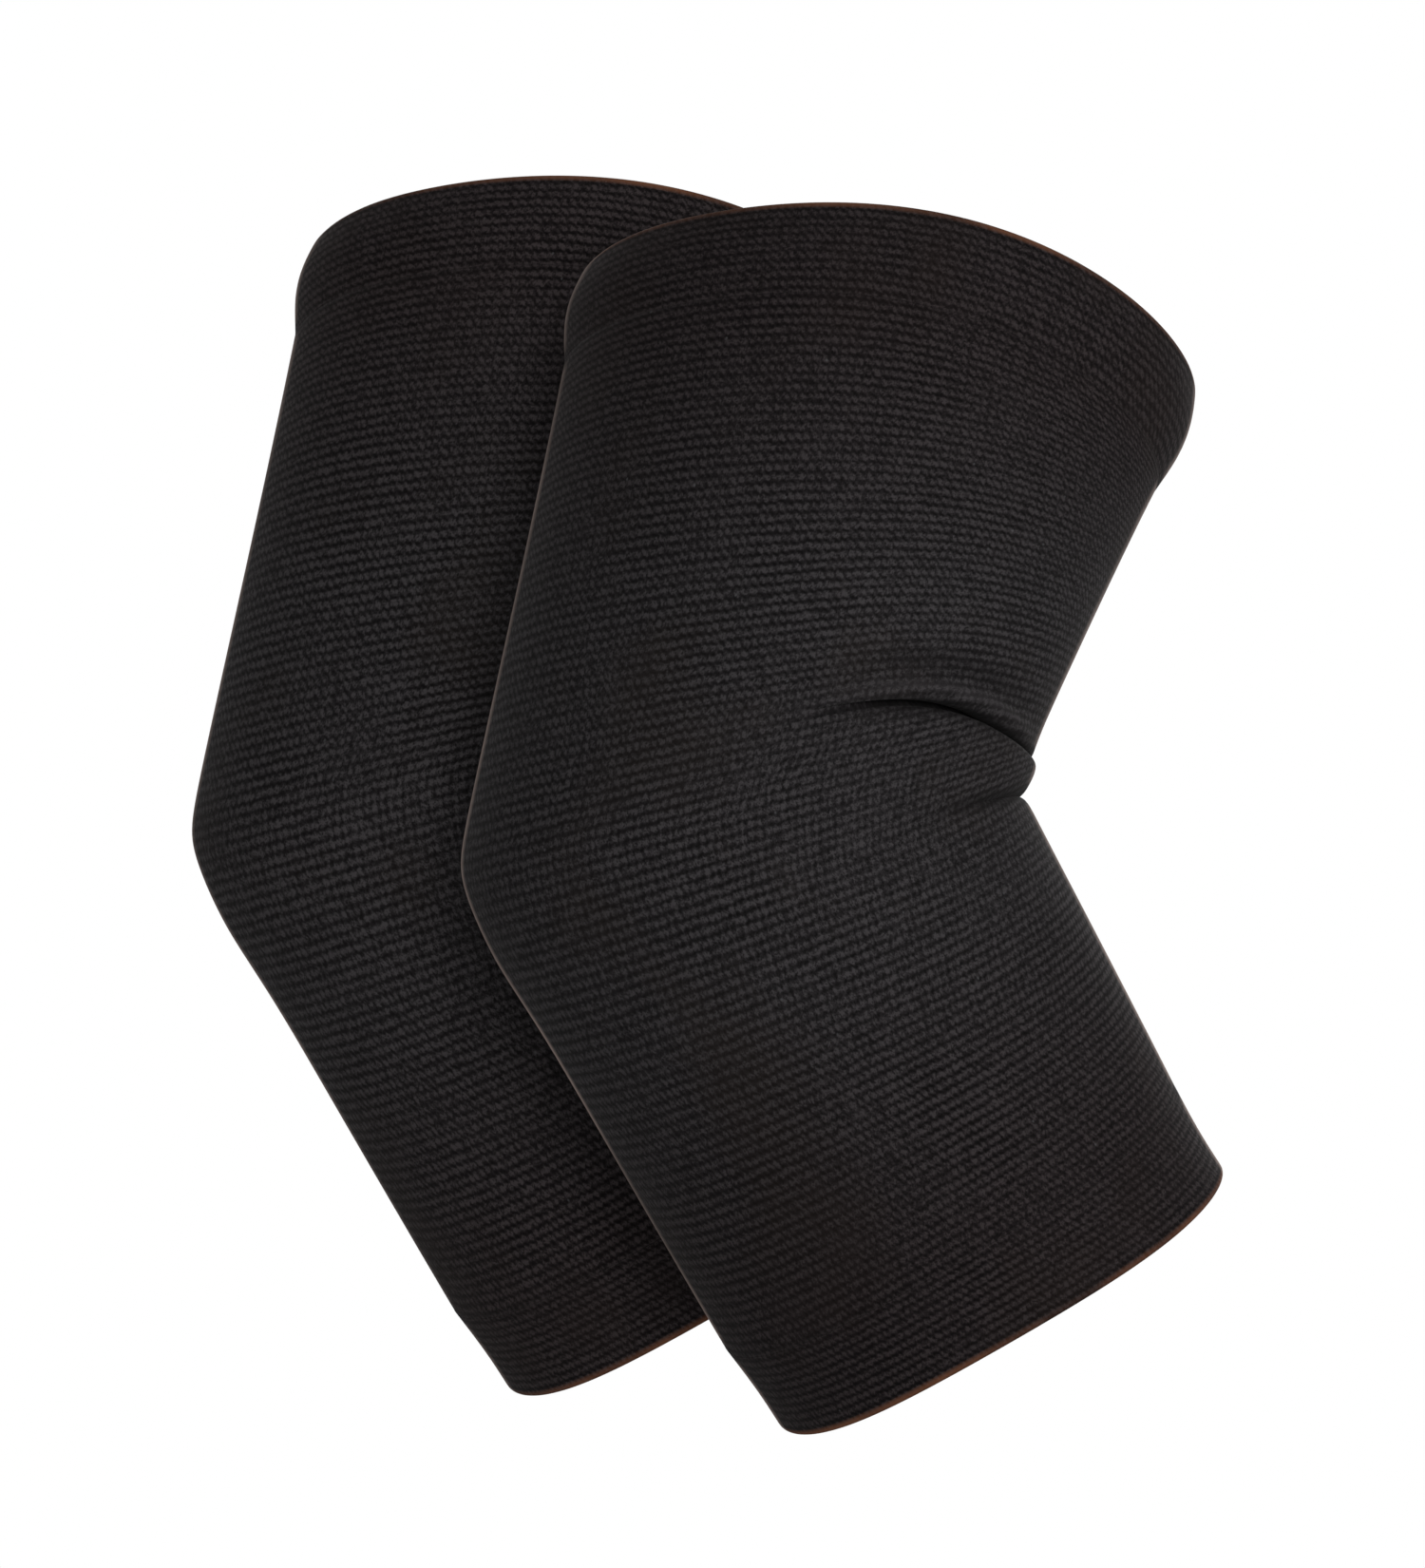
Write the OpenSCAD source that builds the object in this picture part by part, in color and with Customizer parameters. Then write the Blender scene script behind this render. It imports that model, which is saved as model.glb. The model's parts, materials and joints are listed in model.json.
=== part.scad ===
// Pair of pull-on knit elbow pads, bent as on a relaxed arm.
// Origin: the bend axis of the front sleeve's elbow. +Y is that axis, +Z is up,
// the point of the elbow faces -X and the crook of the elbow faces +X.

/* [Upper arm] */
// Lean of the upper-arm tube from straight up, towards the crook
upper_lean = 39.5; // [30:0.5:45]
// Length from the bend axis to the upper rim
upper_len = 101; // [96:0.5:125]
// Outside diameter of the upper tube, measured level with the bend axis
upper_root_d = 86.6; // [80:0.2:90]
// Outside diameter of the upper tube, measured at the rim
upper_rim_d = 109; // [100:0.2:116]
// How far the upper tube's centre line passes behind the bend axis
upper_set_back = 4.2; // [3:0.1:5]
// Slant of the upper rim, lower at the back
rim_slant = 9; // [5:0.5:12]
// How much narrower the upper cuff is than the end of the flare
upper_cuff_draw = 1.4; // [0:0.1:3]
// How far the upper cuff stands forward of the tube's centre line
upper_cuff_forward = 1.4; // [0:0.1:2]

/* [Forearm] */
// Lean of the forearm tube from straight down, towards the crook
forearm_lean = 15; // [8:0.5:22]
// Length from the bend axis to the forearm rim
forearm_len = 92.5; // [88:0.5:115]
// Outside diameter of the forearm tube, measured level with the bend axis
forearm_root_d = 93.4; // [91:0.2:94]
// Outside diameter of the forearm tube, measured at the rim
forearm_rim_d = 88; // [82:0.2:92]
// How much wider the forearm cuff is than the end of its tube
forearm_cuff_spread = 1; // [0:0.1:2]
// How far the forearm cuff stands forward of the tube's centre line
forearm_cuff_forward = 0.6; // [0:0.1:1]

/* [Elbow] */
// Outside width across the sides of the elbow
elbow_w = 94.8; // [92:0.2:98]
// How far the point of the elbow is rounded out between the two tubes
elbow_proud = 0.8; // [0:0.1:2]
// Length of the elbow section along the upper arm
elbow_up = 50; // [48:0.5:56]
// Length of the elbow section along the forearm
elbow_down = 55; // [52:0.5:60]
// Gap between the elbow section and the tubes it joins
elbow_gap = 0.3; // [0.2:0.05:0.5]
// Length of knit on each side of the crook that is gathered into the fold
fold_reach = 8; // [6:0.5:10]
// How far the rolled fold stands out of the crook
fold_proud = 2.2; // [1:0.1:3]
// Depth of the crease above the fold
upper_crease = 3.5; // [1:0.1:4.5]
// Depth of the crease below the fold
lower_crease = 1.2; // [0.5:0.1:2.5]
// How far round the arm the fold runs out, to each side of the crook
fold_sweep = 105; // [80:1:120]

/* [Knit and hems] */
// Thickness of the knit
knit_t = 1.4; // [1:0.1:1.8]
// Width of both hems
hem_w = 17; // [15:0.5:20]
// Thickness of the elastic band in a hem
elastic_t = 1.2; // [0.8:0.1:1.6]
// Width of the elastic band in a hem
elastic_w = 12; // [9:0.5:13]
// Play around the elastic band in its channel
elastic_play = 0.15; // [0.1:0.05:0.25]
// Height of the thread row that closes a hem
thread_h = 1.2; // [0.8:0.1:1.6]

/* [Elbow pad] */
// Thickness of the foam pad
pad_t = 5; // [3:0.5:7]
// Half angle of the pad's cup, seen from the bend axis
pad_half = 42; // [32:1:46]
// Room between the elbow section and the pad's outer face
pad_room = 0.5; // [0.4:0.1:1]
// Play between the pad and its pocket
pad_play = 0.25; // [0.2:0.05:0.4]
// Thickness of the pocket layer under the pad
pocket_t = 1; // [0.8:0.1:1.4]
// Width of the pocket's sewn border, as an angle
pocket_border = 5; // [4:0.5:7]
// Thickness of the thread that sews the pocket
thread_d = 0.8; // [0.6:0.1:1]

/* [Pair] */
// Space between the two sleeves where they come closest
pair_gap = 0.5; // [0.4:0.1:5]
// How far the rear sleeve stands forward of the front one
pair_forward = 19.8; // [15:0.2:25]
// How far the rear sleeve stands above the front one
pair_up = 18.4; // [15:0.2:25]

/* [Hidden] */
$fn = 96;
knit_colour = [0.13, 0.125, 0.125];
elastic_colour = [0.2, 0.2, 0.2];
thread_colour = [0.08, 0.08, 0.08];
foam_colour = [0.24, 0.24, 0.25];
eps = 0.01;

// outside diameters of the two cuffs
upper_cuff_d = upper_rim_d - upper_cuff_draw;
forearm_cuff_d = forearm_rim_d + forearm_cuff_spread;

// upper tube: radius along its centre line, and the place of the cuff on it
upper_slope = (upper_rim_d - upper_root_d) / 2 / upper_len;
cuff_base = upper_len - hem_w * cos(rim_slant);
// forearm tube: radius along its centre line
forearm_slope = (forearm_rim_d - forearm_root_d) / 2 / forearm_len;
forearm_cuff_base = forearm_len - hem_w;

// crook: where the front lines of the two tubes cross, solved from
// upper line a + s * da and forearm line b + t * db in the bend plane
function upper_point(s, x) =
    [x * cos(upper_lean) + s * sin(upper_lean), s * cos(upper_lean) - x * sin(upper_lean)];
function forearm_point(t, x) =
    [x * cos(forearm_lean) + t * sin(forearm_lean), x * sin(forearm_lean) - t * cos(forearm_lean)];
line_a = upper_point(0, upper_root_d / 2 - upper_set_back);
line_da = upper_point(1, upper_slope);
line_b = forearm_point(0, forearm_root_d / 2);
line_db = forearm_point(1, forearm_slope);
line_c = line_b - line_a;
cross_s = (line_c[0] * line_db[1] - line_c[1] * line_db[0])
    / (line_da[0] * line_db[1] - line_da[1] * line_db[0]);
crook = line_a + cross_s * line_da;
cross_t = (line_c[0] * line_da[1] - line_c[1] * line_da[0])
    / (line_da[0] * line_db[1] - line_da[1] * line_db[0]);
crook_out = crook / norm(crook);

// elbow section: courses above the fold, through it and below it
sides = 36;
up_steps = 4;
down_steps = 5;
fold_along = [-1, -0.6, -0.3, 0, 0.3, 0.6, 1];
fold_depth = [
    0.2 * fold_proud, -upper_crease, 0.75 * fold_proud, fold_proud,
    0.65 * fold_proud, -lower_crease, 0
];
last_up = up_steps;
last_fold = up_steps + len(fold_depth) - 1;
function mix(a, b, f) = a + (b - a) * f;
function upper_r(s) = upper_root_d / 2 + upper_slope * s;
function forearm_r(t) = forearm_root_d / 2 + forearm_slope * t;
function upper_front(s) = upper_point(s, upper_r(s) - upper_set_back);
function upper_back(s) = upper_point(s, -upper_r(s) - upper_set_back);
function forearm_front(t) = forearm_point(t, forearm_r(t));
function forearm_back(t) = forearm_point(t, -forearm_r(t));
function round_back(f) =
    let (angle = mix(180 - upper_lean, 180 + forearm_lean, f))
    let (reach = mix(upper_r(0) + upper_set_back, forearm_r(0), f) + elbow_proud * sin(180 * f))
    reach * [cos(angle), sin(angle)];
function fold_front(q) =
    q < 0 ? upper_front(cross_s - q * fold_reach) : forearm_front(cross_t + q * fold_reach);
function course_front(i) =
    i < last_up ? upper_front(mix(elbow_up, cross_s + fold_reach, i / up_steps))
    : i > last_fold ? forearm_front(mix(cross_t + fold_reach, elbow_down, (i - last_fold) / down_steps))
    : fold_front(fold_along[i - last_up]);
function course_back(i) =
    i < last_up ? upper_back(mix(elbow_up, 0, i / up_steps))
    : i > last_fold ? forearm_back(mix(0, elbow_down, (i - last_fold) / down_steps))
    : round_back((i - last_up) / (last_fold - last_up));
function course_gather(i) = i < last_up || i > last_fold ? 0 : fold_depth[i - last_up];
// half width of a course: a smooth run through the two ends and the middle
function course_half_w(i) =
    let (f = i / (last_fold + down_steps))
    upper_r(elbow_up) * (1 - f) * (1 - 2 * f)
    + elbow_w / 2 * 4 * f * (1 - f)
    + forearm_r(elbow_down) * f * (2 * f - 1);
// share of the fold's depth left at an angle from the crook
function fold_share(turn) =
    let (away = min(turn, 360 - turn))
    away > fold_sweep ? 0 : (1 + cos(180 * away / fold_sweep)) / 2;
function course_point(i, turn, wall) =
    let (front = course_front(i))
    let (back = course_back(i))
    let (half = norm(front - back) / 2)
    let (ahead = (front - back) / (2 * half))
    let (flat = (front + back) / 2 + ahead * (half - wall) * cos(turn)
        + crook_out * course_gather(i) * fold_share(turn))
    [flat[0], (course_half_w(i) - wall) * sin(turn), flat[1]];
function quad(a, b, step) = [[a, b, b + step], [a, b + step, a + step]];

// elbow pad: it faces straight back, midway between the two tubes
pad_turn = (upper_lean - forearm_lean) / 2;
back_r = min(elbow_w / 2, forearm_r(0), upper_r(0) + upper_set_back);
pad_r = back_r - knit_t - pad_room;
pad_play_turn = pad_play / pad_r * 180 / PI;
pocket_r = pad_r - pad_t - pad_play;
pocket_in_r = pocket_r - pocket_t;

// second sleeve of the pair
pair_side = upper_cuff_d + pair_gap;
pair_step = [pair_forward, pair_side, pair_up];

// upper tube's own frame: +Z along the upper arm, +X to the crook
module along_upper_arm() {
    rotate([0, upper_lean, 0])
        translate([-upper_set_back, 0, 0])
            children();
}

// forearm tube's own frame: -Z along the forearm, +X to the crook
module along_forearm() {
    rotate([0, -forearm_lean, 0])
        children();
}

// upper cuff's own frame: +Z out of the rim, floor at the cuff's lower edge
module at_upper_cuff() {
    along_upper_arm()
        translate([upper_cuff_forward, 0, cuff_base])
            rotate([0, -rim_slant, 0])
                children();
}

// forearm cuff's own frame: +Z out of the rim, floor at the cuff's upper edge
module at_forearm_cuff() {
    along_forearm()
        translate([forearm_cuff_forward, 0, -forearm_cuff_base])
            rotate([180, 0, 0])
                children();
}

// solid of the upper tube between two stations, drawn in by a wall
module upper_cone(from, to, wall) {
    translate([0, 0, from])
        cylinder(
            h = to - from,
            r1 = upper_root_d / 2 + upper_slope * from - wall,
            r2 = upper_root_d / 2 + upper_slope * to - wall
        );
}

// solid of the forearm tube between two stations, drawn in by a wall
module forearm_cone(from, to, wall) {
    translate([0, 0, -to])
        cylinder(
            h = to - from,
            r1 = forearm_root_d / 2 + forearm_slope * to - wall,
            r2 = forearm_root_d / 2 + forearm_slope * from - wall
        );
}

// ring of rectangular section on the Z axis
module band(out_r, in_r, floor_z, height) {
    translate([0, 0, floor_z])
        difference() {
            cylinder(h = height, r = out_r);
            translate([0, 0, -eps])
                cylinder(h = height + 2 * eps, r = in_r);
        }
}

// radii of a hem's layers, from the outside in
function channel_out_r(d) = d / 2 - knit_t;
function channel_in_r(d) = channel_out_r(d) - elastic_t - 2 * elastic_play;
function cuff_bore_r(d) = channel_in_r(d) - knit_t;

// hem turned over at the rim: two layers of knit with a channel between them
module hem(d) {
    color(knit_colour)
        difference() {
            cylinder(h = hem_w, r = d / 2);
            translate([0, 0, -eps])
                cylinder(h = hem_w + 2 * eps, r = cuff_bore_r(d));
            band(channel_out_r(d), channel_in_r(d), -eps, hem_w - knit_t + eps);
        }
}

// elastic band lying in the hem's channel, up against the turned edge
module hem_elastic(d) {
    color(elastic_colour)
        band(
            channel_out_r(d) - elastic_play,
            channel_in_r(d) + elastic_play,
            hem_w - knit_t - elastic_play - elastic_w,
            elastic_w
        );
}

// row of thread that closes the channel's mouth
module hem_stitch(d) {
    color(thread_colour)
        band(
            channel_out_r(d) - elastic_play,
            channel_in_r(d) + elastic_play,
            elastic_play,
            thread_h
        );
}

module upper_cuff() {
    at_upper_cuff()
        hem(upper_cuff_d);
}

module upper_elastic() {
    at_upper_cuff()
        hem_elastic(upper_cuff_d);
}

module upper_hem_stitch() {
    at_upper_cuff()
        hem_stitch(upper_cuff_d);
}

// flared tube, cut square at the elbow section and slanted at the cuff
module upper_arm_panel() {
    color(knit_colour)
        difference() {
            along_upper_arm()
                difference() {
                    upper_cone(elbow_up + elbow_gap, upper_len, 0);
                    upper_cone(elbow_up + elbow_gap - 1, upper_len + 1, knit_t);
                }
            at_upper_cuff()
                translate([-upper_rim_d, -upper_rim_d, 0])
                    cube([2 * upper_rim_d, 2 * upper_rim_d, upper_len]);
        }
}

// bent section: the knit runs in courses from the crook to the back of the elbow,
// each an oval between a front point and a back point in the bend plane
module elbow_panel() {
    courses = len(fold_depth) + up_steps + down_steps;
    ring = [for (j = [0 : sides - 1]) 360 * j / sides];
    points = concat(
        [for (i = [0 : courses - 1]) for (turn = ring) course_point(i, turn, 0)],
        [for (i = [0 : courses - 1]) for (turn = ring) course_point(i, turn, knit_t)]
    );
    skin = courses * sides;
    faces = concat(
        [for (i = [0 : courses - 2]) for (j = [0 : sides - 1]) each
            quad(i * sides + j, i * sides + (j + 1) % sides, sides)],
        [for (i = [0 : courses - 2]) for (j = [0 : sides - 1]) each
            quad(skin + i * sides + (j + 1) % sides, skin + i * sides + j, sides)],
        [for (j = [0 : sides - 1]) each
            quad((j + 1) % sides, j, skin)],
        [for (j = [0 : sides - 1]) each
            quad(skin - sides + j, skin - sides + (j + 1) % sides, skin)]
    );
    color(knit_colour)
        polyhedron(points = points, faces = faces);
}

// cone from the bend axis to the back of the elbow
module back_cone(half) {
    reach = elbow_w;
    rotate([0, pad_turn - 90, 0])
        cylinder(h = reach, r1 = 0, r2 = reach * tan(half));
}

// moulded foam cup behind the elbow
module elbow_pad() {
    color(foam_colour)
        difference() {
            intersection() {
                sphere(r = pad_r);
                back_cone(pad_half);
            }
            sphere(r = pad_r - pad_t);
        }
}

// inner layer that holds the pad: a cup with a thick border around the pad
module pad_pocket() {
    color(knit_colour)
        difference() {
            intersection() {
                sphere(r = pad_r);
                back_cone(pad_half + pocket_border);
            }
            sphere(r = pocket_in_r);
            difference() {
                back_cone(pad_half + pad_play_turn);
                sphere(r = pocket_r);
            }
        }
}

// ring of thread on the inner face of the pocket's border
module pad_stitch() {
    ring_half = pad_half + pocket_border / 2;
    ring_r = pocket_in_r - thread_d / 2 - 0.05;
    color(thread_colour)
        rotate([0, pad_turn - 90, 0])
            translate([0, 0, ring_r * cos(ring_half)])
                rotate_extrude()
                    translate([ring_r * sin(ring_half), 0])
                        circle(d = thread_d, $fn = 32);
}

// knit tube between the elbow section and the forearm cuff
module forearm_panel() {
    color(knit_colour)
        along_forearm()
            difference() {
                forearm_cone(elbow_down + elbow_gap, forearm_cuff_base, 0);
                forearm_cone(elbow_down + elbow_gap - 1, forearm_cuff_base + 1, knit_t);
            }
}

module forearm_cuff() {
    at_forearm_cuff()
        hem(forearm_cuff_d);
}

module forearm_elastic() {
    at_forearm_cuff()
        hem_elastic(forearm_cuff_d);
}

module forearm_hem_stitch() {
    at_forearm_cuff()
        hem_stitch(forearm_cuff_d);
}

upper_cuff();  // front_upper_cuff
upper_elastic();  // front_upper_elastic
upper_hem_stitch();  // front_upper_hem_stitch
upper_arm_panel();  // front_upper_arm_panel
elbow_panel();  // front_elbow_panel
elbow_pad();  // front_elbow_pad
pad_pocket();  // front_pad_pocket
pad_stitch();  // front_pad_stitch
forearm_panel();  // front_forearm_panel
forearm_cuff();  // front_forearm_cuff
forearm_elastic();  // front_forearm_elastic
forearm_hem_stitch();  // front_forearm_hem_stitch
translate(pair_step) upper_cuff();  // rear_upper_cuff
translate(pair_step) upper_elastic();  // rear_upper_elastic
translate(pair_step) upper_hem_stitch();  // rear_upper_hem_stitch
translate(pair_step) upper_arm_panel();  // rear_upper_arm_panel
translate(pair_step) elbow_panel();  // rear_elbow_panel
translate(pair_step) elbow_pad();  // rear_elbow_pad
translate(pair_step) pad_pocket();  // rear_pad_pocket
translate(pair_step) pad_stitch();  // rear_pad_stitch
translate(pair_step) forearm_panel();  // rear_forearm_panel
translate(pair_step) forearm_cuff();  // rear_forearm_cuff
translate(pair_step) forearm_elastic();  // rear_forearm_elastic
translate(pair_step) forearm_hem_stitch();  // rear_forearm_hem_stitch
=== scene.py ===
import json
import math
import bpy
import numpy as np
from mathutils import Matrix, Vector


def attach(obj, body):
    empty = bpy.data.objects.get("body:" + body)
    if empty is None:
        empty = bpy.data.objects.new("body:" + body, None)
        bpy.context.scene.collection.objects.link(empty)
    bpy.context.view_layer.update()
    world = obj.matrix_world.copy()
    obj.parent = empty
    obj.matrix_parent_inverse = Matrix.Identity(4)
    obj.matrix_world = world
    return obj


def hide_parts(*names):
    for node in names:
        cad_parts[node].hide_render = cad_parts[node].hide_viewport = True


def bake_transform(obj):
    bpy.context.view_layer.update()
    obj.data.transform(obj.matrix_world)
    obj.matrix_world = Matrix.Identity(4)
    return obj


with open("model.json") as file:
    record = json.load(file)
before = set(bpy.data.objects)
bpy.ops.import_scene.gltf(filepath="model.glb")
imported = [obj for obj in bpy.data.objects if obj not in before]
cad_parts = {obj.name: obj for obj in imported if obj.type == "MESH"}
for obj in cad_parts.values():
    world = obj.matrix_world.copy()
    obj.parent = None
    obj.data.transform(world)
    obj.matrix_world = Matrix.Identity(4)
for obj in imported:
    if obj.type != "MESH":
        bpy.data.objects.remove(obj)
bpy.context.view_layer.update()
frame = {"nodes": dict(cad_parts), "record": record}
print("frame loaded with", len(frame["nodes"]), "nodes")

mm = 0.001
wholeTurn = 2 * math.pi
mounts = {mount["name"]: mount for mount in frame["record"]["mounts"]}
sleeves = {"front": "", "rear": "rear_"}  # side of the pair and the start of its mounts' names


# plain helpers for numbers and meshes

def smooth(x):  # 0 to 1 with level ends
    x = np.clip(x, 0, 1)
    return x * x * (3 - 2 * x)


def bell(x, width):  # 1 in the middle, falling off on both sides
    return np.exp(-(x / width) ** 2)


def between(pair, share):  # from the first of two values to the second
    return pair[0] + (pair[1] - pair[0]) * share


def heading(degrees):  # unit vector in the bend plane, turned from +X towards +Z
    return np.array([math.cos(math.radians(degrees)), math.sin(math.radians(degrees))])


def unit(vector):
    return vector / np.linalg.norm(vector, axis=-1, keepdims=True)


def placed(points, hinge):  # millimetres round the bend axis to metres in the frame
    return points * mm + hinge


def hingeOf(side):
    return np.array(mounts[sleeves[side] + "elbow"]["pos_m"])


def volume(points, faces):  # six times the signed volume under the faces, each cut into a fan
    first = points[faces[:, 0]]
    fans = [np.cross(points[faces[:, k]], points[faces[:, k + 1]]) for k in range(1, faces.shape[1] - 1)]
    return sum((first * fan).sum() for fan in fans)


def addMesh(name, points, blocks, material, shade=None):
    # blocks are faces with the uv of each corner; all are turned if the volume comes out negative;
    # shade is the painted fold shade of each point, which the material reads, below 0 a painted highlight
    points = points.reshape(-1, 3)
    order = 1 if sum(volume(points, faces) for faces, uv in blocks) > 0 else -1
    mesh = bpy.data.meshes.new(name)
    mesh.from_pydata(points.tolist(), [], sum((faces[:, ::order].tolist() for faces, uv in blocks), []))
    layer = mesh.uv_layers.new(name="stitches")
    uvs = np.concatenate([uv[:, ::order].reshape(-1, 2) for faces, uv in blocks])
    layer.data.foreach_set("uv", uvs.astype(np.float32).ravel())
    mesh.polygons.foreach_set("use_smooth", np.ones(len(mesh.polygons), bool))
    if shade is not None:
        folds = mesh.attributes.new("fold", "FLOAT", "POINT")
        folds.data.foreach_set("value", shade.astype(np.float32).ravel())
    mesh.materials.append(material)
    mesh.update()
    piece = bpy.data.objects.new(name, mesh)
    bpy.context.scene.collection.objects.link(piece)
    return piece


def corners(grid):  # the four corners of each cell of a grid, in order round the cell
    cells = np.stack([grid[:-1, :-1], grid[:-1, 1:], grid[1:, 1:], grid[1:, :-1]], 2)
    return cells.reshape((-1, 4) + grid.shape[2:])


def ringFaces(rows, columns):  # quads of a grid that closes both ways
    index = np.arange(rows * columns).reshape(rows, columns)
    return corners(np.pad(index, ((0, 1), (0, 1)), mode="wrap"))


def ringUv(u, v):  # u and v on a grid with one more row and column than the points
    return corners(np.stack(np.broadcast_arrays(u, v), -1))


# sleeve: a knit tube bent at the elbow, in millimetres round the bend axis

sleeve = {
    "upperLean": 39.5,  # degrees from straight up, towards the crook
    "upperRadius": 43.3,  # level with the bend axis
    "upperFlare": 0.111,  # radius gained for each mm up the arm
    "upperSetBack": 5.2,
    "frontUpperRadius": 36.0,  # the front lines, which the fold draws in
    "frontUpperFlare": 0.133,
    "frontForearmRadius": 45.9,
    "frontForearmFlare": -0.006,
    "forearmLean": 15.0,  # degrees from straight down, towards the crook
    "forearmRadius": 46.9,
    "forearmFlare": -0.026,
    "crookRound": 1.5,
    "backRound": 5.5,
    "halfWidths": (52.6, 47.9, 47.2, 44.5),  # at the upper hem, crease, notch and forearm hem
    "wall": 1.4,
    "courses": 98,  # rows of stitches from hem to hem
    "coursePitch": 1.6,
    "frontSpread": (-43.0, -14.0),  # mm that courses are moved along the front and back lines
    "backSpread": (0.0, -27.0),
    "wales": 186,  # stitches round the tube
    "waleCrowd": (0.1, 124),  # radians that they are moved, and the degrees round where they stand closest
    "hemGroove": 0.03,
    "columns": 192,
    "outerRows": (110, 20, 44, 110),  # of the mesh, on the upper arm, tuck, roll and forearm
    "innerRows": (40, 12, 16, 40),
    "rowCrowd": 0.7,  # how much closer the mesh's rows stand at the fold
    "flat": (0.28, 0.18),  # metres, before it is pulled on: girth and length
    "upperBend": 66.0,  # along each arm from the bend axis, where the knit begins to give
    "forearmBend": 50.0,
}

rims = {  # how the free edges leave their planes: mm along the wall, by turns of the cosine and the sine
    "upper": {"even": (-1.3, -2.6, -2.4, 0.9), "odd": (0.1, -0.8, -0.2)},
    "forearm": {"even": (-0.25, -1.15, 0.3, -0.65), "odd": (-0.1, -0.6, -0.4)},
}
rimDents = {"upper": (207, 16, -2.3)}  # degrees round, degrees of spread and mm along the wall
rimFade = 0.4  # share of the sleeve's length within which a rim's wave dies away

elbowPoint = {"proud": 1.4, "course": 57.0, "spread": 7.0}  # swelling over the pad's lower half

crook = {  # courses are counted from the upper hem, and turns are degrees round from the crook
    "crease": (43.2, 55.7),  # courses at the side and at the front
    "notch": (56.8, 60.4),
    "dipPowers": (1.4, 2.1),  # how the crease comes down from the side to the front
    "taken": 7.7,  # courses that the crease takes from above at the front
    "hidden": 9.0,  # courses inside the tuck at the front
    "notchTaken": 1.6,
    "endTurn": 110,  # where the crease has come up to its side course
    "looseRows": (0.53, 0.03),  # half the courses between lip and roll, past the crease and in it
    "creaseTurn": (82, 119),  # between which it dies away
    "tuckDepth": 5.0,
    "tuckRise": 25,  # degrees that the tuck climbs behind its lip
    "tuckGap": 0.55,
    "tuckSharp": 8,  # how sharply the tuck turns at its bottom
    "leastRound": 0.02,
    "lipRound": 1.5,
    "lipProud": 1.0,
    "lipAway": 2.2,  # above the crease
    "lipWidth": 1.2,
    "lipTurn": (38, 72),  # between which the lip comes up, away from the crook
    "valleyDepth": 0.5,  # hollow above the lip
    "valleyAway": 6.0,
    "valleyWidth": 1.8,
    "rollRound": 1.9,
    "rollProud": 1.6,
    "rollPowers": (0.9, 0.6),  # the first moves the roll's crown up, the second makes it fuller
    "rollTurn": (50, 100),
    "notchDepth": 1.1,
    "notchWidth": 0.8,
    "notchTurn": (58, 94),
    "pitch": 1.25,  # mm for each course near the crease
    # painted shade: how wide and how dark the crease, the notch and the valley above the lip are painted,
    # and how light the lip
    "creaseShadeWidth": 1.6,
    "notchShadeWidth": 1.3,
    "notchShade": 0.9,  # 1 is as dark as the crease
    "valleyShade": 0.5,
    "lipShade": -0.8,  # lighter: a painted highlight on the lip
}


def bentLine(foot, up, otherFoot, down, rounding):
    # two straight lines that meet in a corner, kept with the directions that leave it
    reach = np.linalg.solve(np.stack([up, -down], 1), otherFoot - foot)
    return {"corner": foot + up * reach[0], "up": up, "down": down, "round": rounding}


def alongLine(line, along):
    # hyperbola that rounds the corner: each arm's share is half of the root of along squared plus round
    # squared, less along on the arm that goes up and plus along on the arm that goes down
    root = np.sqrt(along ** 2 + line["round"] ** 2)
    upward = ((root - along) / 2)[..., None] * line["up"]
    downward = ((root + along) / 2)[..., None] * line["down"]
    return line["corner"] + upward + downward


upperAlong, upperAcross = heading(90 - sleeve["upperLean"]), heading(-sleeve["upperLean"])
forearmAlong, forearmAcross = heading(sleeve["forearmLean"] - 90), heading(sleeve["forearmLean"])
frontLine = bentLine(
    sleeve["frontUpperRadius"] * upperAcross,
    unit(upperAlong + sleeve["frontUpperFlare"] * upperAcross),
    sleeve["frontForearmRadius"] * forearmAcross,
    unit(forearmAlong + sleeve["frontForearmFlare"] * forearmAcross),
    sleeve["crookRound"],
)
backLine = bentLine(
    -(sleeve["upperRadius"] + sleeve["upperSetBack"]) * upperAcross,
    unit(upperAlong - sleeve["upperFlare"] * upperAcross),
    -sleeve["forearmRadius"] * forearmAcross,
    unit(forearmAlong - sleeve["forearmFlare"] * forearmAcross),
    sleeve["backRound"],
)


def hemFloor(mountName):  # foot and axis of a hem in the bend plane, from its mount
    mount = mounts[mountName]
    axis = np.array(mount["axis"])[[0, 2]]
    middle = np.array(mount["pos_m"])[[0, 2]] / mm
    return middle - axis * mount["dims"]["length_mm"] / 2, axis


upperFloor, upperAxis = hemFloor("upper_arm_cuff")
forearmFloor, forearmAxis = hemFloor("forearm_cuff")


def toPlane(line, arm, floor, axis):  # distance from the corner to a hem's floor
    return np.dot(floor - line["corner"], axis) / np.dot(line[arm], axis)


def lineSpan(line):  # from the upper hem's floor to the forearm hem's, counted from the corner
    return -toPlane(line, "up", upperFloor, upperAxis), toPlane(line, "down", forearmFloor, forearmAxis)


lineEnds = {"front": lineSpan(frontLine), "back": lineSpan(backLine)}
widthRows = (0, crook["crease"][0], crook["notch"][0], sleeve["courses"])
widthCurve = np.polyfit(widthRows, sleeve["halfWidths"], 3)


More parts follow.
